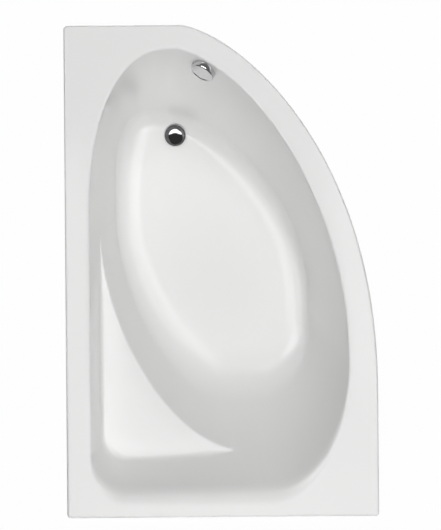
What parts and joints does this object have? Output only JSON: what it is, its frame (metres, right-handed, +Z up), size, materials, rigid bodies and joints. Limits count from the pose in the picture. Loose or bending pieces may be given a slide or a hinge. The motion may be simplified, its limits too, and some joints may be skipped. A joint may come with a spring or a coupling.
{
  "type": "corner bathtub",
  "caption": "Asymmetric white acrylic corner bath with a seat shelf, chrome pop-up waste and overflow knob, on a levelling frame with a trap.",
  "frame": {"origin": "middle of the outline's length and width, on the floor under the feet", "axes": "+X from the long wall side to the free side, +Y from the head end to the foot end with the waste, +Z up"},
  "size_m": [0.95, 1.5, 0.58],
  "materials": {
    "acrylic": "high gloss white",
    "chrome": "polished",
    "wood": "raw chipboard",
    "zinc_steel": "zinc plated",
    "white_plastic": "moulded",
    "grey_plastic": "moulded",
    "black_plastic": "extruded sheath",
    "rubber": "moulded",
    "brass": "turned"
  },
  "bodies": {
    "bath": {"bath_shell": "acrylic", "base_board": "wood", "rim_battens": "wood", "cross_channels": "zinc_steel", "board_screws": "zinc_steel", "foot_nuts": "zinc_steel", "wall_clips": "zinc_steel", "overflow_clamp": "white_plastic", "overflow_front_seal": "rubber", "overflow_rear_seal": "rubber", "overflow_housing": "white_plastic", "overflow_hose": "white_plastic", "hose_nut_top": "grey_plastic", "hose_nut_low": "grey_plastic", "control_cable": "black_plastic", "cable_ferrules": "zinc_steel", "waste_flange": "chrome", "waste_top_seal": "rubber", "waste_low_seal": "rubber", "waste_body": "white_plastic", "trap_inlet_nut": "grey_plastic", "trap_bend": "white_plastic", "trap_clean_cap": "grey_plastic", "trap_outlet_nut": "grey_plastic", "outlet_pipe": "white_plastic"},
    "knob": {"overflow_knob": "chrome", "knob_spindle": "brass", "cable_drum": "white_plastic"},
    "plug": {"plug_dome": "chrome", "plug_stem": "brass", "plug_seal": "rubber"},
    "lever": {"lift_lever": "zinc_steel"},
    "foot_1": {"foot_rod_1": "zinc_steel", "foot_pad_1": "grey_plastic"},
    "foot_2": {"foot_rod_2": "zinc_steel", "foot_pad_2": "grey_plastic"},
    "foot_3": {"foot_rod_3": "zinc_steel", "foot_pad_3": "grey_plastic"},
    "foot_4": {"foot_rod_4": "zinc_steel", "foot_pad_4": "grey_plastic"}
  },
  "joints": [
    {"name": "knob_turn", "type": "hinge", "parent": "bath", "child": "knob", "pos_m": [-0.04522, 0.62225, 0.533], "axis": [-0.474, -0.8048, 0.3571], "range_deg": [0, 120]},
    {"name": "plug_lift", "type": "slide", "parent": "bath", "child": "plug", "axis": [0, 0, 1], "range_m": [0, 0.008]},
    {"name": "lever_turn", "type": "hinge", "parent": "bath", "child": "lever", "pos_m": [-0.14269, 0.46394, 0.1075], "axis": [-0.8527, 0.5224, 0], "range_deg": [0, 33.2]},
    {"name": "foot_1_height", "type": "slide", "parent": "bath", "child": "foot_1", "axis": [0, 0, -1], "range_m": [0, 0.03]},
    {"name": "foot_2_height", "type": "slide", "parent": "bath", "child": "foot_2", "axis": [0, 0, -1], "range_m": [0, 0.03]},
    {"name": "foot_3_height", "type": "slide", "parent": "bath", "child": "foot_3", "axis": [0, 0, -1], "range_m": [0, 0.03]},
    {"name": "foot_4_height", "type": "slide", "parent": "bath", "child": "foot_4", "axis": [0, 0, -1], "range_m": [0, 0.03]}
  ],
  "couplings": [
    {"joint": "plug_lift", "follows": "knob_turn", "m_per_rad": 0.0038195},
    {"joint": "lever_turn", "follows": "knob_turn", "ratio": 0.2766}
  ]
}
